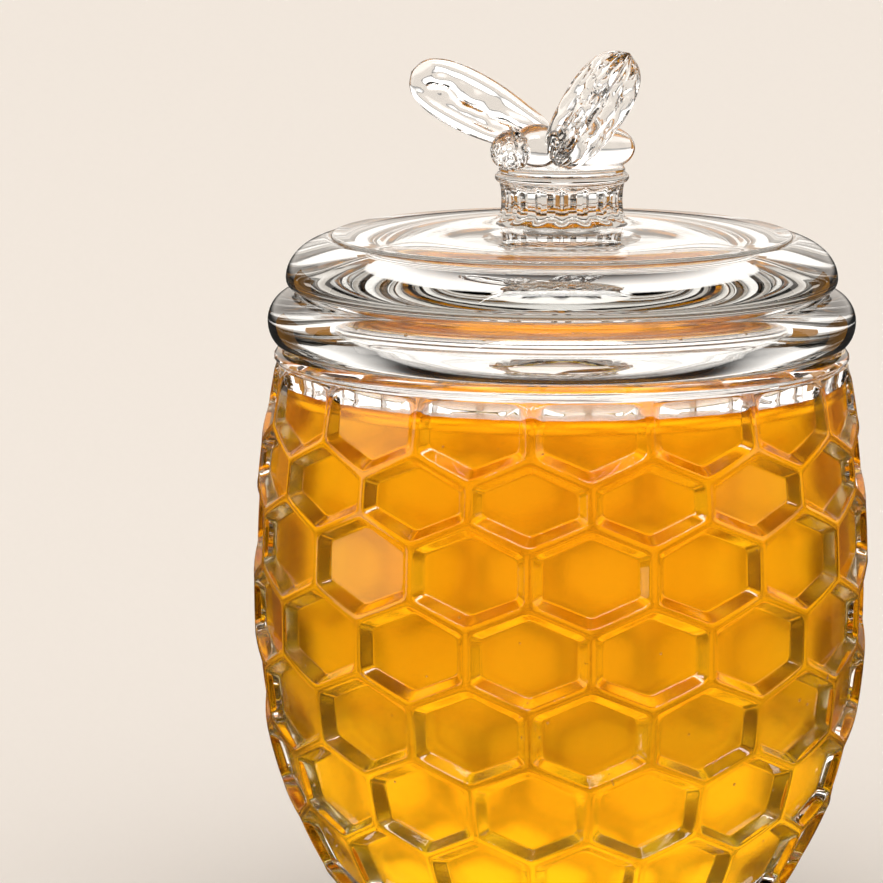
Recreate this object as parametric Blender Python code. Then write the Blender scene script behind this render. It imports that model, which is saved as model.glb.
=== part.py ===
"""A lidded pressed-glass honey pot, full of honey.

The jar is a barrel whose outside is a honeycomb of sunken panels between raised ridges. The lid is a hollow
stepped dome with a bee on a fluted knob, all one piece of glass. The honey is a solid up to its level.
Named sizes are in millimetres and degrees, and the scene is in metres. +Z is up, the origin is the centre of
the base, and an angle round the pot starts at -Y, the front, and runs towards +X.
"""

import math

import bmesh
import bpy
from mathutils import Matrix, Vector

MM = 0.001
WELD = 0.000002

# Jar: the surface that the tops of the ridges lie on
WIDEST_R = 47.4
WIDEST_Z = 58.0
BASE_DRAW_IN = 20.0
BASE_POWER = 2.6
NECK_DRAW_IN = 3.2
NECK_Z = 91.2

# Jar: the glass
WALL = 5.0
CAVITY_FLOOR_Z = 7.5
CAVITY_CORNER = 10.0
CAVITY_POWER = 2.6
CORNER_STEPS = 6
WALL_STEPS = 5
LIP_TOP_Z = 93.3
FOOT_TOP_Z = 4.2
WALL_SEGMENTS_A_CELL = 3

# Honeycomb
CELLS_ROUND = 16
CELL_ANGLE = 360 / CELLS_ROUND
ROUND_SEGMENTS = CELLS_ROUND * WALL_SEGMENTS_A_CELL
ROW_SHIFT = CELL_ANGLE / 4
TIP_RISE = 3.8
SHOULDER_ROW_LOW_Z = 83.0
FIRST_SIDE = 5.7
CELL_SIDE = 8.1
FULL_ROWS = 6
RIDGE_HALF = 0.65
BEVEL = 1.25
TOP_BEVEL = 2.6
PANEL_DEPTH = 2.1
TOP_PANEL_DEPTH = 1.2

# Honey
HONEY_LEVEL_Z = 87.9
TOUCH_GAP = 0.3
HONEY_SEGMENTS = 48

# Lid: from the seat up, a rounded skirt, a waist, a rounded shoulder and a dish
LID_SEGMENTS = 48
LID_SEAT_Z = LIP_TOP_Z + TOUCH_GAP
SKIRT_R = 45.0
SKIRT_Z = LID_SEAT_Z + 4.0
SKIRT_ROUND = 4.2
SKIRT_UP = 4.4
SEAT_ROUND = 3.0
SHOULDER_R = 42.2
SHOULDER_Z = LID_SEAT_Z + 10.5
SHOULDER_ACROSS = 8.2
SHOULDER_UP = 6.2
SHOULDER_TUCK = 1.7
DISH_R = 35.2
DISH_EDGE_Z = LID_SEAT_Z + 16.8
DISH_TOP_Z = LID_SEAT_Z + 19.0
FLANGE_R = 38.4
FLANGE_INNER_R = 35.3
FLANGE_DROP = 3.0
HOLLOW_R = 34.9
HOLLOW_Z = LID_SEAT_Z + 0.4
HOLLOW_UP = 11.6
HOLLOW_STEPS = 8
CEILING_DIP = 3.0
CEILING_DIP_R = 26.0

# Knob: a fluted stem under a round collar
FLUTES = 16
STEM_R = 9.3
FLUTE_DEPTH = 0.9
KNOB_FOOT_Z = DISH_TOP_Z - 1.6
COLLAR_R = 10.2
COLLAR_LOW_Z = DISH_TOP_Z + 6.1
COLLAR_TOP_Z = COLLAR_LOW_Z + 2.5

# Bee: it heads towards the left and a little forward
BEE_HEADING = 210.0
BEE_MIDDLE = Vector((0.9, 0.4, COLLAR_TOP_Z + 2.9))
HEAD_R = 3.2


def ridge_radius(z):
    """Radius of the barrel that the ridge tops lie on, at height z."""
    if z >= WIDEST_Z:
        share = (z - WIDEST_Z) / (NECK_Z - WIDEST_Z)
        return WIDEST_R - NECK_DRAW_IN * share**2
    share = (WIDEST_Z - z) / WIDEST_Z
    return WIDEST_R - BASE_DRAW_IN * share**BASE_POWER


def cavity_radius(z):
    """Radius of the jar's inside at height z, above the rounded corner of its floor."""
    return ridge_radius(z) - WALL


def cavity_profile(top_z):
    """The jar's inside as (radius, height) points, from the middle of its floor up to top_z."""
    profile = []
    for i in range(CORNER_STEPS):
        turn = math.pi / 2 * i / CORNER_STEPS
        z = CAVITY_FLOOR_Z + CAVITY_CORNER * (1 - math.cos(turn) ** (2 / CAVITY_POWER))
        profile.append((cavity_radius(z) * math.sin(turn) ** (2 / CAVITY_POWER), z))
    corner_top = CAVITY_FLOOR_Z + CAVITY_CORNER
    for i in range(WALL_STEPS + 1):
        z = corner_top + (top_z - corner_top) * i / WALL_STEPS
        profile.append((cavity_radius(z), z))
    return profile


def spot(angle, radius, z):
    """Point in metres at an angle in degrees, a radius and a height in millimetres."""
    turn = math.radians(angle)
    return Vector((radius * math.sin(turn), -radius * math.cos(turn), z)) * MM


def clear_scene():
    for old in list(bpy.data.objects):
        bpy.data.objects.remove(old)


def material(name, colour, roughness, transmission, ior):
    made = bpy.data.materials.new(name)
    made.use_nodes = True
    shader = made.node_tree.nodes["Principled BSDF"]
    shader.inputs["Base Color"].default_value = (*colour, 1.0)
    shader.inputs["Metallic"].default_value = 0.0
    shader.inputs["Roughness"].default_value = roughness
    shader.inputs["Transmission Weight"].default_value = transmission
    shader.inputs["IOR"].default_value = ior
    return made


def object_from(name, bm, finish):
    """Welds the shape, turns its faces outwards and puts it in the scene as one named object."""
    bmesh.ops.remove_doubles(bm, verts=bm.verts, dist=WELD)
    bmesh.ops.recalc_face_normals(bm, faces=bm.faces)
    mesh = bpy.data.meshes.new(name)
    bm.to_mesh(mesh)
    bm.free()
    mesh.shade_smooth()
    mesh.set_sharp_from_angle(angle=math.radians(32))
    mesh.materials.append(finish)
    made = bpy.data.objects.new(name, mesh)
    bpy.context.scene.collection.objects.link(made)
    return made


def ring(bm, radius, z, segments, start=0.0, flute=0.0):
    """A ring of vertices, or one vertex where the radius is nought. Every other vertex steps in by flute."""
    if radius == 0:
        return [bm.verts.new(spot(0, 0, z))]
    step = 360 / segments
    return [bm.verts.new(spot(start + i * step, radius - flute * (i % 2), z)) for i in range(segments)]


def join_rings(bm, first, second):
    """Faces between two rings. A ring of one vertex is a pole."""
    count = max(len(first), len(second))
    for i in range(count):
        j = (i + 1) % count
        corners = []
        for loop, index in ((first, i), (first, j), (second, j), (second, i)):
            vertex = loop[index % len(loop)]
            if vertex not in corners:
                corners.append(vertex)
        bm.faces.new(corners)


def lathe(bm, profile, segments, start=0.0):
    """Turns a profile of (radius, height) about the pot's axis, with a vertex at the angle start."""
    rings = [ring(bm, radius, z, segments, start) for radius, z in profile]
    for first, second in zip(rings, rings[1:]):
        join_rings(bm, first, second)


def inset(corners, gaps):
    """The polygon's corners after side i, from corner i to the next, has moved inwards by gaps[i]."""
    count = len(corners)
    lines = []
    for i, start in enumerate(corners):
        along = (corners[(i + 1) % count] - start).normalized()
        inward = Vector((along.y, -along.x))
        lines.append((start + inward * gaps[i], along))
    moved = []
    for i in range(count):
        (p, d), (q, e) = lines[i - 1], lines[i]
        reach = (q - p).cross(e) / d.cross(e)
        moved.append(p + d * reach)
    return moved


def along_sides(corners, parts):
    """Points round a polygon, with side i cut into parts[i] equal steps."""
    points = []
    for i, start in enumerate(corners):
        end = corners[(i + 1) % len(corners)]
        points += [start.lerp(end, step / parts[i]) for step in range(parts[i])]
    return points


def honeycomb_rows():
    """Each row as (shift in degrees, top tip z, side's upper z, side's lower z, bottom tip z).

    The first row is flat along its top and the last along its bottom, where there is no tip.
    """
    rows = [(-ROW_SHIFT, NECK_Z, NECK_Z, SHOULDER_ROW_LOW_Z, SHOULDER_ROW_LOW_Z - TIP_RISE)]
    upper = SHOULDER_ROW_LOW_Z - TIP_RISE
    for index in range(FULL_ROWS):
        side = FIRST_SIDE if index == 0 else CELL_SIDE
        shift = ROW_SHIFT if index % 2 == 0 else -ROW_SHIFT
        lower = upper - side
        rows.append((shift, upper + TIP_RISE, upper, lower, lower - TIP_RISE))
        upper = lower - TIP_RISE
    rows.append((ROW_SHIFT, upper + TIP_RISE, upper, FOOT_TOP_Z, FOOT_TOP_Z))
    return rows


def add_cell(bm, centre, row):
    """One panel of the honeycomb: its share of the ridges, the bevel down from them and the sunken floor.

    The outline is laid out flat, across in millimetres of arc and up along the slope, and then wrapped.
    """
    _, top, upper, lower, bottom = row
    middle = (upper + lower) / 2
    radius = ridge_radius(middle)
    slope = (ridge_radius(middle + 1) - ridge_radius(middle - 1)) / 2
    stretch = math.sqrt(1 + slope**2)
    half = math.radians(CELL_ANGLE / 2) * radius
    flat_top, flat_bottom = top == upper, bottom == lower
    heights = [(-half, upper), (0, top), (half, upper), (half, lower), (0, bottom), (-half, lower)]
    bevels = [BEVEL] * 6
    parts = [1] * 6
    if flat_top:
        del heights[1], bevels[0], parts[0]
        bevels[0], parts[0] = TOP_BEVEL, WALL_SEGMENTS_A_CELL
    if flat_bottom:
        del heights[4], bevels[3], parts[3]
        parts[3] = WALL_SEGMENTS_A_CELL
    corners = [Vector((across, z * stretch)) for across, z in heights]
    crest = inset(corners, [RIDGE_HALF] * len(corners))
    floor = inset(corners, [RIDGE_HALF + bevel for bevel in bevels])
    low_r, high_r = ridge_radius(bottom), ridge_radius(top)

    def wrap(flat, sunk):
        z = flat.y / stretch
        angle = flat.x / radius
        if not sunk:
            return spot(centre + math.degrees(angle), ridge_radius(z), z)
        share = (z - bottom) / (top - bottom)
        depth = PANEL_DEPTH + (TOP_PANEL_DEPTH - PANEL_DEPTH) * share if flat_top else PANEL_DEPTH
        flat_radius = low_r + (high_r - low_r) * share - depth
        return spot(centre + math.degrees(angle), flat_radius / math.cos(angle), z)

    loops = []
    for outline, sunk in ((corners, False), (crest, False), (floor, True)):
        loops.append([bm.verts.new(wrap(p, sunk)) for p in along_sides(outline, parts)])
    join_rings(bm, loops[0], loops[1])
    join_rings(bm, loops[1], loops[2])
    bm.faces.new(loops[2])


def make_jar(finish):
    bm = bmesh.new()
    rows = honeycomb_rows()
    for row in rows:
        for k in range(CELLS_ROUND):
            add_cell(bm, row[0] + (k + 0.5) * CELL_ANGLE, row)
    neck_r = ridge_radius(NECK_Z)
    mouth_z = LIP_TOP_Z - 0.6
    lip = [
        (neck_r, NECK_Z),
        (neck_r - 0.3, NECK_Z + 0.3),
        (neck_r, NECK_Z + 0.8),
        (neck_r - 0.2, NECK_Z + 1.4),
        (neck_r - 1.3, LIP_TOP_Z),
        (cavity_radius(mouth_z) + 0.7, LIP_TOP_Z),
    ]
    inside = cavity_profile(mouth_z)
    lathe(bm, lip + inside[::-1], ROUND_SEGMENTS, rows[0][0])
    foot_r = ridge_radius(FOOT_TOP_Z)
    foot = [
        (foot_r, FOOT_TOP_Z),
        (foot_r - 1.3, 2.2),
        (foot_r - 2.9, 0.8),
        (foot_r - 5.0, 0),
        (17.5, 0),
        (16.5, 0.6),
        (0, 0.6),
    ]
    lathe(bm, foot, ROUND_SEGMENTS, rows[-1][0])
    return object_from("jar", bm, finish)


def make_honey(finish):
    bm = bmesh.new()
    glass = cavity_profile(LIP_TOP_Z)
    below = [(radius, z) for radius, z in glass if z < HONEY_LEVEL_Z - TOUCH_GAP]
    profile = [(max(radius - TOUCH_GAP, 0), z + TOUCH_GAP) for radius, z in below]
    surface = [(cavity_radius(HONEY_LEVEL_Z) - TOUCH_GAP, HONEY_LEVEL_Z), (0, HONEY_LEVEL_Z)]
    lathe(bm, profile + surface, HONEY_SEGMENTS)
    return object_from("honey", bm, finish)


def arc(centre, across, up, start, end, steps):
    """Points (radius, height) along an ellipse, from the angle start to the angle end."""
    turns = [math.radians(start + (end - start) * i / steps) for i in range(steps + 1)]
    return [(centre[0] + across * math.cos(t), centre[1] + up * math.sin(t)) for t in turns]


def lid_profile():
    """The lid's outline from its top centre, out over the two steps, round the seat and back up inside."""
    dish = [
        (0, DISH_TOP_Z),
        (0.4 * DISH_R, DISH_TOP_Z - 0.15),
        (0.68 * DISH_R, DISH_TOP_Z - 0.8),
        (DISH_R - 1.0, DISH_EDGE_Z + 0.5),
        (DISH_R, DISH_EDGE_Z),
    ]
    shoulder_middle = (SHOULDER_R - SHOULDER_ACROSS, SHOULDER_Z)
    tuck_middle = (SHOULDER_R - SHOULDER_TUCK, SHOULDER_Z)
    skirt_middle = (SKIRT_R - SKIRT_ROUND, SKIRT_Z)
    seat_middle = (SKIRT_R - SEAT_ROUND, SKIRT_Z)
    shoulder = arc(shoulder_middle, SHOULDER_ACROSS, SHOULDER_UP, 78, 0, 4)
    tuck = arc(tuck_middle, SHOULDER_TUCK, SHOULDER_TUCK, -45, -90, 1)
    skirt = arc(skirt_middle, SKIRT_ROUND, SKIRT_UP, 84, 0, 3)
    seat = arc(seat_middle, SEAT_ROUND, SKIRT_Z - LID_SEAT_Z, -30, -90, 2)
    flange_low = LID_SEAT_Z - FLANGE_DROP
    flange = [
        (FLANGE_R + 0.3, LID_SEAT_Z),
        (FLANGE_R, flange_low + 0.5),
        (FLANGE_R - 0.6, flange_low),
        (FLANGE_INNER_R + 0.5, flange_low),
        (FLANGE_INNER_R, flange_low + 0.6),
    ]
    hollow = []
    for i in range(HOLLOW_STEPS + 1):
        turn = math.pi / 2 * i / HOLLOW_STEPS
        radius = HOLLOW_R * math.cos(turn) if i < HOLLOW_STEPS else 0
        share = min(1.0, radius / CEILING_DIP_R)
        dip = CEILING_DIP * (1 - share**2 * (3 - 2 * share))
        hollow.append((radius, HOLLOW_Z + HOLLOW_UP * math.sin(turn) - dip))
    return dish + shoulder + tuck + skirt + seat + flange + hollow


def knob_shape():
    """The fluted stem, its flared foot and the collar that the bee lies on."""
    bm = bmesh.new()
    count = 2 * FLUTES
    levels = [
        (0, KNOB_FOOT_Z, 0.0),
        (STEM_R + 2.4, KNOB_FOOT_Z, 0.0),
        (STEM_R + 1.6, DISH_TOP_Z + 0.2, 0.0),
        (STEM_R + 0.9, DISH_TOP_Z + 0.5, 0.0),
        (STEM_R + 0.2, DISH_TOP_Z + 1.3, FLUTE_DEPTH),
        (STEM_R, DISH_TOP_Z + 3.0, FLUTE_DEPTH),
        (STEM_R, COLLAR_LOW_Z - 0.3, FLUTE_DEPTH),
        (COLLAR_R - 0.4, COLLAR_LOW_Z + 0.2, 0.0),
        (COLLAR_R, COLLAR_LOW_Z + 1.1, 0.0),
        (COLLAR_R - 0.3, COLLAR_TOP_Z - 0.4, 0.0),
        (COLLAR_R - 1.0, COLLAR_TOP_Z, 0.0),
        (0, COLLAR_TOP_Z, 0.0),
    ]
    rings = [ring(bm, radius, z, count, flute=flute) for radius, z, flute in levels]
    for first, second in zip(rings, rings[1:]):
        join_rings(bm, first, second)
    return bm


def egg_shape(centre, along, across, up):
    """An ellipsoid with these half sizes along the bee, across it and up."""
    bm = bmesh.new()
    turn = Matrix.Rotation(math.radians(BEE_HEADING), 4, "Z")
    size = Matrix.Diagonal((along * MM, across * MM, up * MM, 1))
    place = Matrix.Translation(centre * MM) @ turn @ size
    bmesh.ops.create_uvsphere(bm, u_segments=14, v_segments=8, radius=1.0, matrix=place)
    return bm


def wing_shape(root, tip, across, width, thick, root_share):
    """A thick rounded paddle from root to tip. Across is roughly the way that its width runs."""
    bm = bmesh.new()
    bmesh.ops.create_uvsphere(bm, u_segments=14, v_segments=9, radius=1.0)
    root, tip = Vector(root), Vector(tip)
    along = (tip - root).normalized()
    normal = along.cross(Vector(across)).normalized()
    side = normal.cross(along)
    reach = (tip - root).length / 2
    for vertex in bm.verts:
        x, y, z = vertex.co.z, vertex.co.x, vertex.co.y
        boxy = 1 + 0.28 * (1 - x * x)
        taper = root_share + (1 - root_share) * math.sin(math.pi / 2 * min(1, (x + 1) / 1.25))
        spread = side * (y * taper * boxy * width / 2)
        plate = normal * (math.copysign(abs(z) ** 0.6, z) * thick / 2)
        vertex.co = (root + along * (reach * (x + 1)) + spread + plate) * MM
    return bm


def fused_shapes():
    """The pieces of glass that are fused to the lid: the knob and the bee."""
    turn = math.radians(BEE_HEADING)
    ahead = Vector((math.cos(turn), math.sin(turn), 0))
    up = Vector((0, 0, 1))
    return {
        "knob": knob_shape(),
        "head": egg_shape(BEE_MIDDLE + ahead * 9.9 - up * 0.3, HEAD_R, HEAD_R, HEAD_R),
        "thorax": egg_shape(BEE_MIDDLE + ahead * 5.4 + up * 0.2, 3.9, 3.4, 3.3),
        "abdomen": egg_shape(BEE_MIDDLE - ahead * 4.6 - up * 0.6, 6.9, 4.0, 3.5),
        "near_wing": wing_shape((-1.0, -5.0, 121.6), (10.1, -5.5, 138.8), (0.8, -0.1, -0.6), 8.8, 3.0, 0.8),
        "far_wing": wing_shape((-1.6, 1.3, 124.2), (-23.1, 6.6, 134.8), (0.5, 0.1, 0.8), 7.4, 3.0, 0.9),
    }


def make_lid(finish):
    bm = bmesh.new()
    lathe(bm, lid_profile(), LID_SEGMENTS)
    lid = object_from("lid", bm, finish)
    fused = bpy.data.collections.new("fused_to_lid")
    bpy.context.scene.collection.children.link(fused)
    for name, shape in fused_shapes().items():
        piece = object_from(name, shape, finish)
        bpy.context.scene.collection.objects.unlink(piece)
        fused.objects.link(piece)
    union = lid.modifiers.new("fuse", "BOOLEAN")
    union.operation = "UNION"
    union.operand_type = "COLLECTION"
    union.collection = fused
    union.solver = "EXACT"
    graph = bpy.context.evaluated_depsgraph_get()
    joined = bpy.data.meshes.new_from_object(lid.evaluated_get(graph))
    lid.modifiers.clear()
    lid.data = joined
    for piece in list(fused.objects):
        bpy.data.objects.remove(piece)
    bpy.data.collections.remove(fused)
    return lid


def main():
    clear_scene()
    glass = material("clear_glass", (0.97, 0.98, 0.98), 0.02, 1.0, 1.5)
    lid_glass = material("lid_glass", (0.97, 0.98, 0.98), 0.02, 1.0, 1.5)
    amber = material("honey_amber", (0.86, 0.42, 0.02), 0.05, 0.8, 1.48)
    make_jar(glass)
    make_honey(amber)
    make_lid(lid_glass)


main()
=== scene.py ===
"""The looks of a lidded pressed-glass honey pot, full of honey.

Three pieces of fine mesh stand for the solids: the jar with its honeycomb of soft-edged ridges and the
air bubbles in its wall, the lid with the fluted knob and the glass bee, and the honey with its meniscus.
Sizes of the pot are in millimetres and degrees, and those of the studio in metres. An angle round the pot
starts at -Y, the front, and runs towards +X.
"""

import math
import random

import bmesh
import bpy
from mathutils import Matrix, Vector, noise


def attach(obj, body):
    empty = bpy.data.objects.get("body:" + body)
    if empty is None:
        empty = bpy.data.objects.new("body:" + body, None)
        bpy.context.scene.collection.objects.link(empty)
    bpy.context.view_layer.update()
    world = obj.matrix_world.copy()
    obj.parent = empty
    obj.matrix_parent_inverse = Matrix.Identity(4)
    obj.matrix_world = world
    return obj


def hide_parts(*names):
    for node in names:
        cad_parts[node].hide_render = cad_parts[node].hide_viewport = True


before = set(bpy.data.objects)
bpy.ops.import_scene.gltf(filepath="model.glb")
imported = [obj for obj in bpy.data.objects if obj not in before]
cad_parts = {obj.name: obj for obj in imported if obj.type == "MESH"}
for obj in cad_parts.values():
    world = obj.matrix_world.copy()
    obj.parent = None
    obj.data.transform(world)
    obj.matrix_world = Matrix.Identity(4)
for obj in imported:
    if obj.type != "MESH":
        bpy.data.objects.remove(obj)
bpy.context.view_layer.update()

MM = 0.001
WELD = 0.000004

# Camera: it looks from the front, from a little above the lid
CAMERA_AT = (0.0, -0.740, 0.200)
LENS = 199.08
PITCH = 80.676
YAW = 1.4195

# Studio: it looks one way straight on, another through the glass and a third in what the glass mirrors
ROOM_COLOUR = (0.97, 0.895, 0.815)
BACKLIGHT_COLOUR = (1.16, 1.11, 1.06)
STRIP_GLOW = 0.75
FLOOR_COLOUR = (0.93, 0.91, 0.89)
FLOOR_GLOW = 0.29
FLOOR_GLOW_ENDS = (0.65, 0.45)
NEAR_GLOW = 1.0
NEAR_GLOW_ENDS = (0.24, 0.10)
DIM_COLOUR = (0.03, 0.03, 0.03)
SIDE_COLOUR = (0.12, 0.11, 0.10)
FRONT_COLOUR = (0.60, 0.57, 0.54)
SOFTBOXES = (
    ("top_softbox", (0.05, -0.60, 1.10), 1.1, 0.35, 13.0),
    ("key_softbox", (-0.70, -0.75, 0.75), 0.35, 0.6, 12.0),
    ("left_softbox", (-0.95, -0.25, 0.15), 0.35, 0.8, 0.45),
)
BLACK = (0.005, 0.005, 0.005)
BROWN = (0.42, 0.20, 0.04)
FLAGS = ((-135, 0.11, 0.7, BLACK), (-86, 0.075, 0.7, BLACK), (-52, 0.085, 0.15, BROWN))
FLAG_AWAY = 0.24
SIDE_CARD_X = 0.25
SIDE_CARD_SIZE = (0.20, 0.30)
FLAG_GLOW = 0.3
# Painted shadow round the foot: a brown ring that only the glass sees, with a faint painted glow
PAINTED_SHADOW_R = (0.051, 0.105)
PAINTED_SHADOW_COLOUR = (0.68, 0.43, 0.28)
PAINTED_SHADOW_GLOW = 0.4

# Jar: the barrel that the ridge tops lie on, its wall and its cavity
WIDEST_R = 47.235
WIDEST_Z = 58.0
BASE_DRAW_IN = 19.9
BASE_POWER = 2.6
NECK_DRAW_IN = 3.2
NECK_Z = 91.2
WALL = 5.0
CAVITY_FLOOR_Z = 7.5
CAVITY_CORNER = 10.0
CAVITY_POWER = 2.6
CORNER_STEPS = 10
WALL_STEPS = 22
LIP_TOP_Z = 93.3
FOOT_TOP_Z = 4.2

# Honeycomb
CELLS_ROUND = 16
CELL_ANGLE = 360 / CELLS_ROUND
ROW_SHIFT = CELL_ANGLE / 4
TIP_RISE = 3.8
SHOULDER_ROW_LOW_Z = 83.0
FIRST_SIDE = 5.7
CELL_SIDE = 8.1
FULL_ROWS = 6
SIDE_STOPS = (0.0, 0.08, 0.25, 0.5, 0.75, 0.92)
RIDGE_STOPS = (0.0, 0.25, 0.45, 0.53, 0.61, 0.69, 0.8, 1.1, 1.4, 1.62, 1.72, 1.8, 1.88, 2.05)
FLOOR_STOPS = (0.7, 0.35)
RIDGE_TOP = 0.45
BEVEL = 1.45
FILLET = 0.17
CROWN = 0.06
PANEL_DEPTH = 2.1
TOP_PANEL_DEPTH = 1.25
NECK_GROOVE = 0.7
FINGER_ROUND = 1.7
OPEN_TOP = 2.4

# Honey
HONEY_LEVEL_Z = 87.9
REACH_INTO_WALL = 0.4
MENISCUS_UP = 0.35
MENISCUS_IN = 2.0
BUBBLES = 110
BUBBLE_SIZES = (0.08, 0.26)
HONEY_COLOUR = (0.98, 0.755, 0.01)
HONEY_ROUGHNESS = 0.2
HONEY_DEPTH_COLOUR = (0.95, 0.12, 0.001)
HONEY_DENSITY = 10.0

# Lid: from the seat up, a rounded skirt, a waist, a rounded shoulder and a dish
LID_SEGMENTS = 192
LID_SEAT_Z = 93.6
SKIRT_R = 44.9
SKIRT_Z = LID_SEAT_Z + 4.0
SKIRT_ROUND = 4.2
SKIRT_UP = 4.4
SEAT_ROUND = 3.0
SHOULDER_R = 42.1
SHOULDER_Z = LID_SEAT_Z + 10.5
SHOULDER_ACROSS = 8.2
SHOULDER_UP = 6.2
SHOULDER_TUCK = 1.7
DISH_R = 35.2
DISH_EDGE_Z = LID_SEAT_Z + 16.8
DISH_TOP_Z = LID_SEAT_Z + 19.0
FLANGE_R = 38.4
FLANGE_INNER_R = 35.3
FLANGE_DROP = 3.0
HOLLOW_R = 34.9
HOLLOW_Z = LID_SEAT_Z + 0.4
HOLLOW_UP = 11.6
HOLLOW_STEPS = 28
CEILING_DIP = 3.0
CEILING_DIP_R = 26.0
LID_DEPTH_COLOUR = (0.60, 0.60, 0.58)
LID_DENSITY = 22.0

# Knob and bee
FLUTES = 16
STEM_R = 9.3
FLUTE_DEPTH = 0.95
COLLAR_R = 10.2
COLLAR_LOW_Z = DISH_TOP_Z + 6.1
COLLAR_TOP_Z = COLLAR_LOW_Z + 2.5
BEE_HEADING = 210.0
BEE_MIDDLE = Vector((0.9, 0.4, COLLAR_TOP_Z + 2.9))
HEAD_R = 3.2
DIMPLE_DEPTH = 0.5
DIMPLE_GRAIN = 3.0


def smooth(share):
    """0 to 1 with level ends."""
    share = min(1.0, max(0.0, share))
    return share * share * (3 - 2 * share)


def ridge_radius(z):
    if z >= WIDEST_Z:
        share = (z - WIDEST_Z) / (NECK_Z - WIDEST_Z)
        return WIDEST_R - NECK_DRAW_IN * share**2
    share = (WIDEST_Z - z) / WIDEST_Z
    return WIDEST_R - BASE_DRAW_IN * share**BASE_POWER


def cavity_radius(z):
    return ridge_radius(z) - WALL


def cavity_profile(top_z):
    """The jar's inside as (radius, height) points, from the middle of its floor up to top_z."""
    profile = []
    for i in range(CORNER_STEPS):
        turn = math.pi / 2 * i / CORNER_STEPS
        z = CAVITY_FLOOR_Z + CAVITY_CORNER * (1 - math.cos(turn) ** (2 / CAVITY_POWER))
        profile.append((cavity_radius(z) * math.sin(turn) ** (2 / CAVITY_POWER), z))
    corner_top = CAVITY_FLOOR_Z + CAVITY_CORNER
    for i in range(WALL_STEPS + 1):
        z = corner_top + (top_z - corner_top) * i / WALL_STEPS
        profile.append((cavity_radius(z), z))
    return profile


def slope_down(share):
    """0 on the ridge's top to 1 on the panel's floor, a straight slope with a fillet at each end."""
    share = min(1.0, max(0.0, share))
    if share > 0.5:
        return 1 - slope_down(1 - share)
    if share < FILLET:
        return share**2 / (2 * FILLET * (1 - FILLET))
    return (share - FILLET / 2) / (1 - FILLET)


def spot(angle, radius, z):
    """Point in metres at an angle in degrees, a radius and a height in millimetres."""
    turn = math.radians(angle)
    return Vector((radius * math.sin(turn), -radius * math.cos(turn), z)) * MM


class Shape:
    """Points and faces gathered for one mesh."""

    def __init__(self):
        self.points = []
        self.faces = []
        self.marks = []

    def loop(self, points):
        first = len(self.points)
        self.points += points
        return list(range(first, len(self.points)))

    def band(self, first, second, mark=0):
        """Faces between two loops. A loop of one point is a pole."""
        count = max(len(first), len(second))
        for i in range(count):
            corners = []
            for loop, index in ((first, i), (first, i + 1), (second, i + 1), (second, i)):
                corner = loop[index % len(loop)]
                if corner not in corners:
                    corners.append(corner)
            self.faces.append(corners)
            self.marks.append(mark)

    def turned(self, profile, angles, mark_below=None):
        """Turns a (radius, height) profile about the pot's axis. Faces under mark_below take material 1."""
        loops = []
        for radius, z in profile:
            if radius == 0:
                loops.append(self.loop([spot(0, 0, z)]))
            else:
                loops.append(self.loop([spot(angle, radius, z) for angle in angles]))
        for i, (first, second) in enumerate(zip(loops, loops[1:])):
            middle = (profile[i][1] + profile[i + 1][1]) / 2
            marked = mark_below is not None and middle < mark_below
            self.band(first, second, 1 if marked else 0)

    def ball(self, centre, size, along=(0, 0, 1), across=32, rings=20):
        """An ellipsoid with half sizes size = (sideways, sideways, along), in metres."""
        axis = Vector(along).normalized()
        side = axis.orthogonal().normalized()
        other = axis.cross(side)
        loops = []
        for j in range(rings + 1):
            tilt = math.pi * j / rings
            height = axis * (size[2] * math.cos(tilt))
            if j in (0, rings):
                loops.append(self.loop([Vector(centre) + height]))
                continue
            wide = math.sin(tilt)
            turns = [2 * math.pi * i / across for i in range(across)]
            loops.append(self.loop([
                Vector(centre) + height
                + side * (size[0] * wide * math.cos(t)) + other * (size[1] * wide * math.sin(t))
                for t in turns
            ]))
        for first, second in zip(loops, loops[1:]):
            self.band(first, second)

    def mesh(self, name, weld=0.0):
        made = bpy.data.meshes.new(name)
        made.from_pydata(self.points, [], self.faces)
        made.polygons.foreach_set("material_index", self.marks)
        bm = bmesh.new()
        bm.from_mesh(made)
        if weld:
            bmesh.ops.remove_doubles(bm, verts=bm.verts, dist=weld)
        bmesh.ops.recalc_face_normals(bm, faces=bm.faces)
        bm.to_mesh(made)
        bm.free()
        made.shade_smooth()
        return made


def piece_from(name, mesh, node, finishes):
    """Puts a mesh in the scene as the piece that stands for a node."""
    piece = bpy.data.objects.new(name, mesh)
    bpy.context.scene.collection.objects.link(piece)
    mesh.materials.clear()
    for finish in finishes:
        mesh.materials.append(finish)
    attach(piece, "root")
    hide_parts(node)
    return piece


def inset(corners, gaps):
    """The polygon's corners after side i, from corner i to the next, has moved inwards by gaps[i]."""
    count = len(corners)
    lines = []
    for i, start in enumerate(corners):
        along = (corners[(i + 1) % count] - start).normalized()
        inward = Vector((along.y, -along.x))
        lines.append((start + inward * gaps[i], along))
    moved = []
    for i in range(count):
        (p, d), (q, e) = lines[i - 1], lines[i]
        reach = (q - p).cross(e) / d.cross(e)
        moved.append(p + d * reach)
    return moved


def along_sides(corners):
    points = []
    for i, start in enumerate(corners):
        end = corners[(i + 1) % len(corners)]
        points += [start.lerp(end, stop) for stop in SIDE_STOPS]
    return points


def rounded(points, passes):
    """The loop with its corners rounded off."""
    for _ in range(passes):
        count = len(points)
        points = [
            points[i] * 0.5 + (points[i - 1] + points[(i + 1) % count]) * 0.25
            for i in range(count)
        ]
    return points


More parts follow.
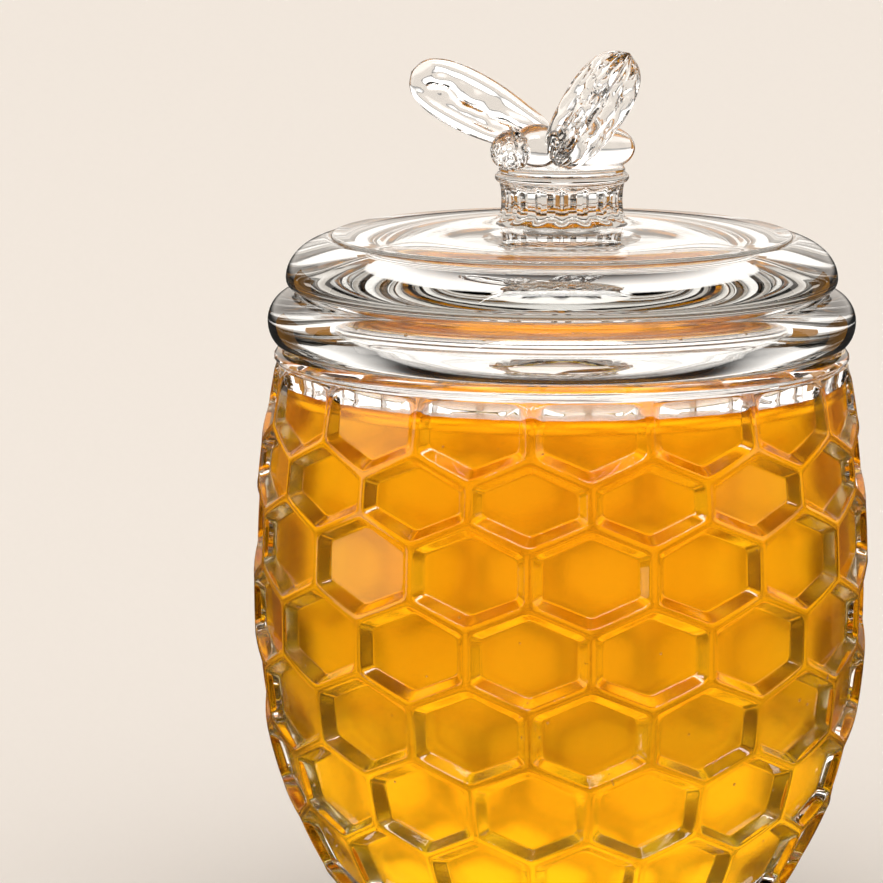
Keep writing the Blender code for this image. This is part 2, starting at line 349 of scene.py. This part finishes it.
def honeycomb_rows():
    """Each row as (shift in degrees, top tip z, side's upper z, side's lower z, bottom tip z)."""
    rows = [(-ROW_SHIFT, NECK_Z, NECK_Z, SHOULDER_ROW_LOW_Z, SHOULDER_ROW_LOW_Z - TIP_RISE)]
    upper = SHOULDER_ROW_LOW_Z - TIP_RISE
    for index in range(FULL_ROWS):
        side = FIRST_SIDE if index == 0 else CELL_SIDE
        shift = ROW_SHIFT if index % 2 == 0 else -ROW_SHIFT
        lower = upper - side
        rows.append((shift, upper + TIP_RISE, upper, lower, lower - TIP_RISE))
        upper = lower - TIP_RISE
    rows.append((ROW_SHIFT, upper + TIP_RISE, upper, FOOT_TOP_Z, FOOT_TOP_Z))
    return rows


def crest_radius(z):
    """Radius of the ridge tops, which round off under the neck's groove."""
    return ridge_radius(z) - NECK_GROOVE * smooth((z - NECK_Z + FINGER_ROUND) / FINGER_ROUND) ** 2


def add_cell(shape, centre, row):
    """One panel of the honeycomb: its share of the ridges, the bevel down from them and the sunken floor."""
    _, top, upper, lower, bottom = row
    middle = (upper + lower) / 2
    radius = ridge_radius(middle)
    slope = (ridge_radius(middle + 1) - ridge_radius(middle - 1)) / 2
    stretch = math.sqrt(1 + slope**2)
    half = math.radians(CELL_ANGLE / 2) * radius
    flat_top, flat_bottom = top == upper, bottom == lower
    outline = [(-half, upper), (0, top), (half, upper), (half, lower), (0, bottom), (-half, lower)]
    widen = [1.0] * 6
    if flat_top:
        del outline[1], widen[0]
        widen[0] = 0.08
    if flat_bottom:
        del outline[4], widen[3]
    corners = [Vector((across, z * stretch)) for across, z in outline]
    low_r, high_r = ridge_radius(bottom), ridge_radius(top)

    def wrap(flat, sunk, crown):
        """Lays a flat point on the barrel, sunk from 0 on the ridge to 1 on the panel's floor."""
        z = flat.y / stretch
        angle = flat.x / radius
        share = (z - bottom) / (top - bottom)
        depth = PANEL_DEPTH
        if flat_top:
            depth += (TOP_PANEL_DEPTH - PANEL_DEPTH) * share
            depth += (NECK_GROOVE - depth) * smooth((z - NECK_Z + OPEN_TOP) / OPEN_TOP)
        floor_r = (low_r + (high_r - low_r) * share - depth) / math.cos(angle)
        crest_r = crest_radius(z) - crown
        return spot(centre + math.degrees(angle), crest_r + (floor_r - crest_r) * sunk, z)

    loops = []
    for gap in RIDGE_STOPS:
        points = along_sides(inset(corners, [gap * share for share in widen]))
        sunk = slope_down((gap - RIDGE_TOP) / BEVEL)
        points = rounded(points, 0 if gap == 0 else 1)
        crown = CROWN * min(1, gap / RIDGE_TOP) ** 2
        loops.append(shape.loop([wrap(p, sunk, crown) for p in points]))
        last = points
    heart = sum(last, Vector((0, 0))) / len(last)
    for share in FLOOR_STOPS:
        loops.append(shape.loop([wrap(heart.lerp(p, share), 1, CROWN) for p in last]))
    loops.append(shape.loop([wrap(heart, 1, CROWN)]))
    for first, second in zip(loops, loops[1:]):
        shape.band(first, second)


def ring_angles(row):
    """Where the vertices of a row's level edge stand round the pot."""
    return [row[0] + (k + stop) * CELL_ANGLE for k in range(CELLS_ROUND) for stop in SIDE_STOPS]


def bubbles_in_wall():
    """Small bubbles of air in the glass behind the panels."""
    chance = random.Random(7)
    shape = Shape()
    for _ in range(BUBBLES):
        z = chance.uniform(FOOT_TOP_Z + 16, HONEY_LEVEL_Z - 2)
        deep = chance.uniform(0.7, 2.0)
        size = chance.uniform(*BUBBLE_SIZES) * MM
        at = spot(chance.uniform(0, 360), cavity_radius(z) + deep, z)
        shape.ball(at, (size, size, size), across=12, rings=8)
    return shape.mesh("bubbles")


def add_hollows(mesh, hollows):
    """Joins closed hollows to a mesh, facing inwards."""
    bm = bmesh.new()
    bm.from_mesh(mesh)
    solid_faces = len(bm.faces)
    bm.from_mesh(hollows)
    bm.faces.ensure_lookup_table()
    bmesh.ops.reverse_faces(bm, faces=bm.faces[solid_faces:])
    bm.to_mesh(mesh)
    bm.free()
    mesh.shade_smooth()


def make_jar(finishes):
    shape = Shape()
    rows = honeycomb_rows()
    for row in rows:
        for k in range(CELLS_ROUND):
            add_cell(shape, row[0] + (k + 0.5) * CELL_ANGLE, row)
    neck_r = ridge_radius(NECK_Z)
    groove_r = neck_r - NECK_GROOVE
    mouth_z = LIP_TOP_Z - 0.7
    lip = [
        (groove_r, NECK_Z),
        (groove_r - 0.02, NECK_Z + 0.15),
        (groove_r + 0.1, NECK_Z + 0.3),
        (groove_r + 0.45, NECK_Z + 0.5),
        (groove_r + 0.62, NECK_Z + 0.8),
        (groove_r + 0.6, NECK_Z + 1.2),
        (groove_r + 0.35, NECK_Z + 1.6),
        (groove_r - 0.1, NECK_Z + 1.9),
        (groove_r - 0.7, LIP_TOP_Z),
        (cavity_radius(mouth_z) + 1.0, LIP_TOP_Z),
        (cavity_radius(mouth_z) + 0.4, LIP_TOP_Z - 0.15),
        (cavity_radius(mouth_z) + 0.1, LIP_TOP_Z - 0.4),
    ]
    shape.turned(lip + cavity_profile(mouth_z)[::-1], ring_angles(rows[0]), HONEY_LEVEL_Z)
    foot_r = ridge_radius(FOOT_TOP_Z)
    foot = [
        (foot_r, FOOT_TOP_Z),
        (foot_r - 0.5, 3.2),
        (foot_r - 1.3, 2.2),
        (foot_r - 2.2, 1.3),
        (foot_r - 3.2, 0.6),
        (foot_r - 4.4, 0.1),
        (foot_r - 5.2, 0),
        (18.0, 0),
        (17.2, 0.15),
        (16.4, 0.6),
        (0, 0.6),
    ]
    shape.turned(foot, ring_angles(rows[-1]))
    mesh = shape.mesh("jar_glass", WELD)
    add_hollows(mesh, bubbles_in_wall())
    return piece_from("jar_glass", mesh, "jar", finishes)


def make_honey(finishes):
    shape = Shape()
    top = HONEY_LEVEL_Z + MENISCUS_UP
    glass = [point for point in cavity_profile(LIP_TOP_Z - 0.7) if point[1] < top - 0.2]
    glass.append((cavity_radius(top), top))
    wall = []
    for radius, z in glass:
        outwards = REACH_INTO_WALL if radius else 0
        downwards = REACH_INTO_WALL if z < CAVITY_FLOOR_Z + CAVITY_CORNER else 0
        wall.append((radius + outwards, z - downwards))
    edge_r = cavity_radius(top)
    surface = []
    for i in range(9):
        share = i / 8
        surface.append((edge_r - MENISCUS_IN * share, top - MENISCUS_UP * (1 - (1 - share) ** 2.5)))
    surface += [(edge_r * 0.6, HONEY_LEVEL_Z), (0, HONEY_LEVEL_Z)]
    angles = ring_angles(honeycomb_rows()[0])
    shape.turned(wall + surface[:1], angles)
    wall_faces = len(shape.faces)
    shape.turned(surface, angles)
    shape.marks[wall_faces:] = [1] * (len(shape.faces) - wall_faces)
    return piece_from("honey_fill", shape.mesh("honey_fill", WELD), "honey", finishes)


def arc(centre, across, up, start, end, steps):
    """Points (radius, height) along an ellipse, from the angle start to the angle end."""
    turns = [math.radians(start + (end - start) * i / steps) for i in range(steps + 1)]
    return [(centre[0] + across * math.cos(t), centre[1] + up * math.sin(t)) for t in turns]


def lid_profile():
    """The lid's outline from its top centre, out over the two steps, round the seat and back up inside."""
    dish = []
    for i in range(16):
        share = i / 16
        dish.append((share * DISH_R, DISH_TOP_Z - (DISH_TOP_Z - DISH_EDGE_Z) * share**2.6))
    edge = arc((DISH_R - 0.5, DISH_EDGE_Z - 0.1), 0.5, 0.5, 80, -20, 5)
    shoulder = arc((SHOULDER_R - SHOULDER_ACROSS, SHOULDER_Z), SHOULDER_ACROSS, SHOULDER_UP, 78, 0, 22)
    tuck = arc((SHOULDER_R - SHOULDER_TUCK, SHOULDER_Z), SHOULDER_TUCK, SHOULDER_TUCK, -15, -90, 6)
    skirt = arc((SKIRT_R - SKIRT_ROUND, SKIRT_Z), SKIRT_ROUND, SKIRT_UP, 84, 0, 16)
    seat = arc((SKIRT_R - SEAT_ROUND, SKIRT_Z), SEAT_ROUND, SKIRT_Z - LID_SEAT_Z, -10, -90, 12)
    flange_low = LID_SEAT_Z - FLANGE_DROP
    flange = [(FLANGE_R + 0.5, LID_SEAT_Z), (FLANGE_R + 0.2, LID_SEAT_Z - 0.2)]
    flange += arc((FLANGE_R - 0.7, flange_low + 0.7), 0.7, 0.7, 0, -90, 5)
    flange += arc((FLANGE_INNER_R + 0.7, flange_low + 0.7), 0.7, 0.7, -90, -180, 5)
    hollow = []
    for i in range(HOLLOW_STEPS + 1):
        turn = math.pi / 2 * i / HOLLOW_STEPS
        radius = HOLLOW_R * math.cos(turn)
        dip = CEILING_DIP * (1 - smooth(radius / CEILING_DIP_R))
        hollow.append((radius if i < HOLLOW_STEPS else 0, HOLLOW_Z + HOLLOW_UP * math.sin(turn) - dip))
    return dish + edge + shoulder + tuck + skirt + seat + flange + hollow


def knob_mesh():
    """The fluted stem, its flared foot and the collar under the bee."""
    shape = Shape()
    steps = FLUTES * 10
    levels = [
        (0, DISH_TOP_Z - 1.6, 0),
        (STEM_R + 2.4, DISH_TOP_Z - 1.6, 0),
        (STEM_R + 1.9, DISH_TOP_Z - 0.1, 0),
        (STEM_R + 1.3, DISH_TOP_Z + 0.15, 0),
        (STEM_R + 0.8, DISH_TOP_Z + 0.45, 0.1),
        (STEM_R + 0.45, DISH_TOP_Z + 0.8, 0.45),
        (STEM_R + 0.2, DISH_TOP_Z + 1.2, 0.85),
        (STEM_R, DISH_TOP_Z + 1.8, 1),
        (STEM_R - 0.1, DISH_TOP_Z + 3.2, 1),
        (STEM_R, DISH_TOP_Z + 4.9, 1),
        (STEM_R + 0.1, DISH_TOP_Z + 5.4, 0.85),
        (STEM_R + 0.2, DISH_TOP_Z + 5.8, 0.35),
        (STEM_R + 0.35, COLLAR_LOW_Z, 0),
        (COLLAR_R - 0.3, COLLAR_LOW_Z + 0.1, 0),
        (COLLAR_R, COLLAR_LOW_Z + 0.5, 0),
        (COLLAR_R, COLLAR_LOW_Z + 0.9, 0),
        (COLLAR_R - 0.3, COLLAR_LOW_Z + 1.25, 0),
        (COLLAR_R - 0.9, COLLAR_LOW_Z + 1.4, 0),
        (COLLAR_R - 0.9, COLLAR_LOW_Z + 1.55, 0),
        (COLLAR_R - 0.6, COLLAR_LOW_Z + 1.75, 0),
        (COLLAR_R - 0.6, COLLAR_LOW_Z + 2.1, 0),
        (COLLAR_R - 0.9, COLLAR_TOP_Z - 0.1, 0),
        (COLLAR_R - 1.4, COLLAR_TOP_Z, 0),
        (0, COLLAR_TOP_Z, 0),
    ]
    loops = []
    for radius, z, flute in levels:
        if radius == 0:
            loops.append(shape.loop([spot(0, 0, z)]))
            continue
        points = []
        for i in range(steps):
            window = math.sin(math.pi * FLUTES * i / steps) ** 2
            depth = FLUTE_DEPTH * flute * smooth(1.5 * window)
            points.append(spot(360 * i / steps, radius - depth, z))
        loops.append(shape.loop(points))
    for first, second in zip(loops, loops[1:]):
        shape.band(first, second)
    return shape.mesh("knob")


def through(points, share):
    """The value at share along a smooth curve through (share, value) points."""
    for i in range(len(points) - 1):
        if share <= points[i + 1][0]:
            break
    (x0, y0), (x1, y1) = points[i], points[i + 1]
    before = points[max(i - 1, 0)]
    after = points[min(i + 2, len(points) - 1)]
    m0 = (y1 - before[1]) / (x1 - before[0])
    m1 = (after[1] - y0) / (after[0] - x0)
    t, span = (share - x0) / (x1 - x0), x1 - x0
    return (
        (2 * t**3 - 3 * t**2 + 1) * y0
        + (t**3 - 2 * t**2 + t) * span * m0
        + (3 * t**2 - 2 * t**3) * y1
        + (t**3 - t**2) * span * m1
    )


def wing_mesh(name, root, tip, across, outline, thick, relief):
    """A wing from root to tip. The outline gives half its width along it, and relief(t, v) its thickness."""
    shape = Shape()
    root, tip = Vector(root), Vector(tip)
    along = (tip - root).normalized()
    normal = along.cross(Vector(across)).normalized()
    side = normal.cross(along)
    length = (tip - root).length
    loops = [shape.loop([root * MM])]
    stations, round_steps = 56, 72
    for i in range(1, stations):
        t = (1 - math.cos(math.pi * i / stations)) / 2
        half = max(through(outline, t), 0.02)
        rim = math.sqrt(max(0.0, 1 - (2 * t - 1) ** 8))
        points = []
        for k in range(round_steps):
            turn = 2 * math.pi * k / round_steps
            v = math.cos(turn)
            lift = math.copysign(abs(math.sin(turn)) ** 0.62, math.sin(turn))
            height = thick / 2 * rim * lift * relief(t, v)
            middle = root + along * (t * length)
            points.append((middle + side * (half * v) + normal * height) * MM)
        loops.append(shape.loop(points))
    loops.append(shape.loop([tip * MM]))
    for first, second in zip(loops, loops[1:]):
        shape.band(first, second)
    return shape.mesh(name)


def veined(t, v):
    """Uneven grooves that fan out from the root, with ripples between them."""
    drift = noise.noise(Vector((1.4 * v, 2.6 * t, 3.0)))
    fan = abs(math.sin(math.pi * (3.2 * v + 0.9 * drift + 0.3 * t)))
    ripple = noise.noise(Vector((5.5 * v, 7.0 * t, 0.0)))
    return 0.4 + 0.6 * fan**0.7 + 0.32 * ripple * smooth(4 * t)


def beaded(t, v):
    """A raised rim round a thinner inside, with a wavering groove along it."""
    rim = max(smooth((abs(v) - 0.5) / 0.25), smooth((t - 0.84) / 0.08))
    drift = 0.3 * noise.noise(Vector((6.0 * t, 0.0, 5.0)))
    groove = math.exp(-((v - drift + 0.05) / 0.13) ** 2)
    ripple = noise.noise(Vector((3.0 * v, 11.0 * t, 9.0)))
    return 0.64 + 0.36 * rim - (1 - rim) * (0.36 * groove - 0.26 * ripple)


def dimple(mesh, centre):
    """Presses small uneven dimples into a round mesh."""
    for vertex in mesh.vertices:
        out = (vertex.co - centre).normalized()
        vertex.co -= out * (DIMPLE_DEPTH * MM * abs(noise.noise(out * DIMPLE_GRAIN)))


def fused_meshes():
    """The pieces of glass that are fused to the lid: the knob and the bee."""
    turn = math.radians(BEE_HEADING)
    ahead = Vector((math.cos(turn), math.sin(turn), 0))
    up = Vector((0, 0, 1))
    body = []
    for name, at, size in (
        ("head", BEE_MIDDLE + ahead * 9.9 - up * 0.3, (HEAD_R, HEAD_R, HEAD_R)),
        ("thorax", BEE_MIDDLE + ahead * 5.4 + up * 0.2, (3.4, 3.3, 3.9)),
        ("abdomen", BEE_MIDDLE - ahead * 4.6 - up * 0.6, (4.0, 3.5, 6.9)),
    ):
        shape = Shape()
        shape.ball(at * MM, [s * MM for s in size], ahead, 96, 64)
        body.append(shape.mesh(name))
        if name == "head":
            dimple(body[-1], at * MM)
    leaf = [(0, 0), (0.04, 2.2), (0.15, 3.7), (0.35, 4.6), (0.65, 4.85), (0.85, 3.9), (0.95, 2.3), (1, 0)]
    paddle = [(0, 0), (0.05, 2.4), (0.25, 3.7), (0.5, 4.6), (0.75, 4.5), (0.9, 3.5), (0.97, 2.0), (1, 0)]
    near_wing = wing_mesh(
        "near_wing", (-1.0, -5.0, 121.6), (10.1, -5.5, 138.7), (0.8, -0.1, -0.6), leaf, 3.2, veined
    )
    far_wing = wing_mesh(
        "far_wing", (-1.6, 1.3, 124.2), (-23.1, 6.6, 134.8), (0.5, 0.1, 0.8), paddle, 3.0, beaded
    )
    return [knob_mesh(), *body, near_wing, far_wing]


def make_lid(finish):
    shape = Shape()
    angles = [360 * i / LID_SEGMENTS for i in range(LID_SEGMENTS)]
    shape.turned(lid_profile(), angles)
    lid = bpy.data.objects.new("lid_blank", shape.mesh("lid_blank"))
    bpy.context.scene.collection.objects.link(lid)
    helpers = []
    for mesh in fused_meshes():
        helper = bpy.data.objects.new(mesh.name, mesh)
        bpy.context.scene.collection.objects.link(helper)
        union = lid.modifiers.new(mesh.name, "BOOLEAN")
        union.operation = "UNION"
        union.object = helper
        union.solver = "MANIFOLD"
        helpers.append(helper)
    graph = bpy.context.evaluated_depsgraph_get()
    joined = bpy.data.meshes.new_from_object(lid.evaluated_get(graph))
    joined.name = "lid_and_bee"
    for helper in (lid, *helpers):
        bpy.data.objects.remove(helper)
    joined.shade_smooth()
    joined.set_sharp_from_angle(angle=math.radians(40))
    return piece_from("lid_and_bee", joined, "lid", [finish])


def deepen(made, colour, density):
    """Lets the inside of the material take in light with depth."""
    nodes, links = made.node_tree.nodes, made.node_tree.links
    depth = nodes.new("ShaderNodeVolumeAbsorption")
    depth.inputs["Color"].default_value = (*colour, 1)
    depth.inputs["Density"].default_value = density
    links.new(depth.outputs["Volume"], nodes["Material Output"].inputs["Volume"])


def glass_material(name, specular_tint, waviness):
    made = bpy.data.materials.new(name)
    made.use_nodes = True
    nodes, links = made.node_tree.nodes, made.node_tree.links
    shader = nodes["Principled BSDF"]
    shader.inputs["Base Color"].default_value = (0.985, 0.99, 0.99, 1)
    shader.inputs["Transmission Weight"].default_value = 1.0
    shader.inputs["IOR"].default_value = 1.5
    shader.inputs["Specular Tint"].default_value = (*specular_tint, 1)
    shader.inputs["Roughness"].default_value = 0.0
    place = nodes.new("ShaderNodeTexCoord")
    wave = nodes.new("ShaderNodeTexNoise")
    wave.inputs["Scale"].default_value = 90.0
    wave.inputs["Detail"].default_value = 1.5
    bump = nodes.new("ShaderNodeBump")
    bump.inputs["Strength"].default_value = 1.0
    bump.inputs["Distance"].default_value = waviness * MM
    links.new(place.outputs["Object"], wave.inputs["Vector"])
    links.new(wave.outputs["Fac"], bump.inputs["Height"])
    links.new(bump.outputs["Normal"], shader.inputs["Normal"])
    return made


def honey_material(name, roughness, specular_tint):
    """Honey. With a black specular tint it mirrors nothing, as where it wets the glass."""
    made = bpy.data.materials.new(name)
    made.use_nodes = True
    shader = made.node_tree.nodes["Principled BSDF"]
    shader.inputs["Base Color"].default_value = (*HONEY_COLOUR, 1)
    shader.inputs["Transmission Weight"].default_value = 1.0
    shader.inputs["IOR"].default_value = 1.5
    shader.inputs["Roughness"].default_value = roughness
    shader.inputs["Specular Tint"].default_value = (*specular_tint, 1)
    deepen(made, HONEY_DEPTH_COLOUR, HONEY_DENSITY)
    return made


def plain_material(name, colour, glow=0.0):
    made = bpy.data.materials.new(name)
    made.use_nodes = True
    shader = made.node_tree.nodes["Principled BSDF"]
    shader.inputs["Base Color"].default_value = (*colour, 1)
    shader.inputs["Roughness"].default_value = 0.9
    shader.inputs["Specular IOR Level"].default_value = 0.1
    shader.inputs["Emission Color"].default_value = (*colour, 1)
    shader.inputs["Emission Strength"].default_value = glow
    made.cycles.emission_sampling = "NONE"
    return made


def add_camera():
    data = bpy.data.cameras.new("camera")
    data.sensor_width = 36.0
    data.lens = LENS
    data.clip_end = 30.0
    camera = bpy.data.objects.new("camera", data)
    camera.location = CAMERA_AT
    camera.rotation_euler = (math.radians(PITCH), 0, math.radians(YAW))
    bpy.context.scene.collection.objects.link(camera)
    bpy.context.scene.camera = camera


def add_floor():
    """The pale floor. Seen through the glass it glows, most of all near the pot."""
    bm = bmesh.new()
    bmesh.ops.create_circle(bm, cap_ends=True, segments=96, radius=6.0)
    mesh = bpy.data.meshes.new("floor")
    bm.to_mesh(mesh)
    bm.free()
    floor = bpy.data.objects.new("floor", mesh)
    bpy.context.scene.collection.objects.link(floor)
    finish = plain_material("floor", FLOOR_COLOUR)
    nodes, links = finish.node_tree.nodes, finish.node_tree.links
    path = nodes.new("ShaderNodeLightPath")
    place = nodes.new("ShaderNodeTexCoord")
    away = nodes.new("ShaderNodeVectorMath")
    away.operation = "LENGTH"
    links.new(place.outputs["Object"], away.inputs[0])
    near = eased(nodes, links, away.outputs["Value"], *FLOOR_GLOW_ENDS)
    nearer = eased(nodes, links, away.outputs["Value"], *NEAR_GLOW_ENDS)
    glow = nodes.new("ShaderNodeMath")
    glow.operation = "MULTIPLY_ADD"
    glow.inputs[1].default_value = NEAR_GLOW
    links.new(nearer, glow.inputs[0])
    glow.inputs[2].default_value = FLOOR_GLOW
    glow = combined(nodes, links, "MULTIPLY", glow.outputs["Value"], near)
    glow = combined(nodes, links, "MULTIPLY", glow, path.outputs["Is Transmission Ray"])
    links.new(glow, nodes["Principled BSDF"].inputs["Emission Strength"])
    mesh.materials.append(finish)
    floor.visible_glossy = False


def add_panel(name, at, aim, width, height, colour, glow):
    """A flat card or softbox that only the glass and the honey see."""
    bm = bmesh.new()
    signs = ((-1, -1), (1, -1), (1, 1), (-1, 1))
    bm.faces.new([bm.verts.new((x * width / 2, y * height / 2, 0)) for x, y in signs])
    mesh = bpy.data.meshes.new(name)
    bm.to_mesh(mesh)
    bm.free()
    panel = bpy.data.objects.new(name, mesh)
    panel.location = at
    panel.rotation_euler = (Vector(aim) - Vector(at)).to_track_quat("Z", "Y").to_euler()
    bpy.context.scene.collection.objects.link(panel)
    mesh.materials.append(plain_material(name, colour, glow))
    panel.visible_camera = False
    panel.visible_diffuse = False
    panel.visible_shadow = False
    return panel


def eased(nodes, links, value, start, end):
    """A node output that goes softly from 0 where value is start to 1 where it is end."""
    ramp = nodes.new("ShaderNodeMapRange")
    ramp.interpolation_type = "SMOOTHSTEP"
    ramp.inputs["From Min"].default_value = start
    ramp.inputs["From Max"].default_value = end
    links.new(value, ramp.inputs["Value"])
    return ramp.outputs["Result"]


def combined(nodes, links, operation, first, second):
    step = nodes.new("ShaderNodeMath")
    step.operation = operation
    links.new(first, step.inputs[0])
    links.new(second, step.inputs[1])
    return step.outputs["Value"]


def add_world():
    """An even room. Through the glass it is brighter behind the pot, dark beside it and half lit in front.

    What the glass mirrors is dim below the horizon, in front and overhead.
    """
    world = bpy.data.worlds.new("studio")
    bpy.context.scene.world = world
    world.use_nodes = True
    world.cycles.sampling_method = "NONE"
    nodes, links = world.node_tree.nodes, world.node_tree.links
    room = nodes["Background"]
    room.inputs["Color"].default_value = (*ROOM_COLOUR, 1)
    backlight = nodes.new("ShaderNodeBackground")
    backlight.inputs["Color"].default_value = (*BACKLIGHT_COLOUR, 1)
    dim = nodes.new("ShaderNodeBackground")
    dim.inputs["Color"].default_value = (*DIM_COLOUR, 1)
    aside = nodes.new("ShaderNodeBackground")
    aside.inputs["Color"].default_value = (*SIDE_COLOUR, 1)
    before = nodes.new("ShaderNodeBackground")
    before.inputs["Color"].default_value = (*FRONT_COLOUR, 1)
    place = nodes.new("ShaderNodeTexCoord")
    split = nodes.new("ShaderNodeSeparateXYZ")
    links.new(place.outputs["Generated"], split.inputs["Vector"])
    low = eased(nodes, links, split.outputs["Z"], 0.08, -0.06)
    high = eased(nodes, links, split.outputs["Z"], 0.55, 0.8)
    front = eased(nodes, links, split.outputs["Y"], -0.3, -0.5)
    path = nodes.new("ShaderNodeLightPath")
    through_glass = path.outputs["Is Transmission Ray"]
    around = combined(nodes, links, "MAXIMUM", low, front)
    around = combined(nodes, links, "MAXIMUM", around, high)
    mirrored = combined(nodes, links, "MULTIPLY", path.outputs["Is Glossy Ray"], around)
    beside = eased(nodes, links, split.outputs["Y"], 0.45, 0.2)
    glass_beside = combined(nodes, links, "MULTIPLY", through_glass, beside)
    ahead = eased(nodes, links, split.outputs["Y"], -0.55, -0.8)
    glass_front = combined(nodes, links, "MULTIPLY", through_glass, ahead)
    rising = eased(nodes, links, split.outputs["Z"], 0.02, 0.14)
    falling = eased(nodes, links, split.outputs["Z"], 0.62, 0.42)
    strip = combined(nodes, links, "MULTIPLY", rising, falling)
    boost = nodes.new("ShaderNodeMath")
    boost.operation = "MULTIPLY_ADD"
    boost.inputs[1].default_value = STRIP_GLOW
    boost.inputs[2].default_value = 1.0
    links.new(strip, boost.inputs[0])
    links.new(boost.outputs["Value"], backlight.inputs["Strength"])
    seen = room.outputs["Background"]
    for share, other in (
        (through_glass, backlight),
        (glass_beside, aside),
        (glass_front, before),
        (mirrored, dim),
    ):
        mix = nodes.new("ShaderNodeMixShader")
        links.new(share, mix.inputs["Fac"])
        links.new(seen, mix.inputs[1])
        links.new(other.outputs["Background"], mix.inputs[2])
        seen = mix.outputs["Shader"]
    links.new(seen, nodes["World Output"].inputs["Surface"])


def add_painted_shadow():
    """A painted shadow: a brown ring on the floor round the foot, where the pot's shadow falls, seen only
    through the glass. It also glows a little, painted light that lightens the bevels that look at it.
    """
    shape = Shape()
    angles = [360 * i / 64 for i in range(64)]
    shape.turned([(radius / MM, 0.2) for radius in PAINTED_SHADOW_R], angles)
    shade = bpy.data.objects.new("shade", shape.mesh("shade"))
    bpy.context.scene.collection.objects.link(shade)
    shade.data.materials.append(plain_material("shade", PAINTED_SHADOW_COLOUR, PAINTED_SHADOW_GLOW))
    shade.visible_camera = False
    shade.visible_diffuse = False
    shade.visible_glossy = False
    shade.visible_shadow = False


def add_light():
    add_world()
    add_painted_shadow()
    white = (1, 0.99, 0.97)
    middle = (0, 0, 0.1)
    for name, at, width, height, glow in SOFTBOXES:
        panel = add_panel(name, at, middle, width, height, white, glow)
        panel.visible_transmission = False
    for index, (angle, width, height, colour) in enumerate(FLAGS):
        for side in (-1, 1):
            turn = math.radians(side * angle)
            at = (FLAG_AWAY * math.sin(turn), FLAG_AWAY * math.cos(turn), height / 2)
            name = f"flag_{index}_{side}"
            add_panel(name, at, (0, 0, height / 2), width, height, colour, FLAG_GLOW)
    for side in (-1, 1):
        at = (side * SIDE_CARD_X, -0.02, 0.0003)
        add_panel(f"side_card_{side}", at, (at[0], at[1], 1), *SIDE_CARD_SIZE, BLACK, 0.0)


def main():
    scene = bpy.context.scene
    scene.view_settings.view_transform = "Standard"
    scene.cycles.max_bounces = 16
    scene.cycles.transmission_bounces = 16
    scene.cycles.glossy_bounces = 6
    scene.cycles.diffuse_bounces = 2
    add_camera()
    add_floor()
    add_light()
    glass = glass_material("clear_glass", (1, 1, 1), 0.02)
    wet_glass = glass_material("wet_glass", (0, 0, 0), 0.0)
    lid_glass = glass_material("lid_glass", (1, 1, 1), 0.015)
    deepen(lid_glass, LID_DEPTH_COLOUR, LID_DENSITY)
    amber = honey_material("honey_amber", HONEY_ROUGHNESS, (0, 0, 0))
    amber_top = honey_material("honey_surface", 0.0, (1, 1, 1))
    make_jar([glass, wet_glass])
    make_lid(lid_glass)
    honey = make_honey([amber, amber_top])
    honey.visible_diffuse = False


main()
